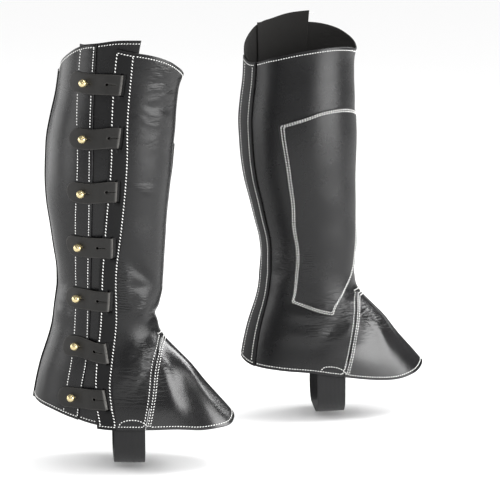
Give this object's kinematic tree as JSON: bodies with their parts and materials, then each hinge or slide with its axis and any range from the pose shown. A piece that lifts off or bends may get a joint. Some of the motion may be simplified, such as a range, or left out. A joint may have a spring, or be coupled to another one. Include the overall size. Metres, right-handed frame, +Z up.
{
  "type": "pair of half chaps",
  "caption": "Worn pair of black leather half chaps with white saddle stitching, pull-through tabs on brass ball studs and elastic foot straps.",
  "frame": {"origin": "middle of the right calf's hollow, 330 mm above the ground the wearer stands on", "axes": "+Z up along the wearer, +X the way the right toes point, +Y to the wearer's left"},
  "size_m": [0.4485, 0.3586, 0.4696],
  "materials": {
    "leather": "smooth black full-grain leather with a soft sheen",
    "trim": "matt black leather strip",
    "tabs": "matt black strap leather with raw black edges",
    "elastic": "woven black elastic webbing",
    "brass": "polished brass",
    "thread": "thick white waxed thread"
  },
  "bodies": {
    "root": {"right_leg_panel": "leather", "right_vamp": "leather", "right_back_panel": "leather", "right_underlap": "leather", "right_placket_band": "trim", "right_back_strip": "trim", "right_calf_patch": "leather", "right_foot_strap": "elastic", "right_tab_1": "tabs", "right_stud_1": "brass", "right_tab_2": "tabs", "right_stud_2": "brass", "right_tab_3": "tabs", "right_stud_3": "brass", "right_tab_4": "tabs", "right_stud_4": "brass", "right_tab_5": "tabs", "right_stud_5": "brass", "right_tab_6": "tabs", "right_stud_6": "brass", "right_tab_7": "tabs", "right_stud_7": "brass", "left_leg_panel": "leather", "left_vamp": "leather", "left_back_panel": "leather", "left_underlap": "leather", "left_placket_band": "trim", "left_back_strip": "trim", "left_calf_patch": "leather", "left_foot_strap": "elastic", "left_tab_1": "tabs", "left_stud_1": "brass", "left_tab_2": "tabs", "left_stud_2": "brass", "left_tab_3": "tabs", "left_stud_3": "brass", "left_tab_4": "tabs", "left_stud_4": "brass", "left_tab_5": "tabs", "left_stud_5": "brass", "left_tab_6": "tabs", "left_stud_6": "brass", "left_tab_7": "tabs", "left_stud_7": "brass"}
  },
  "joints": []
}
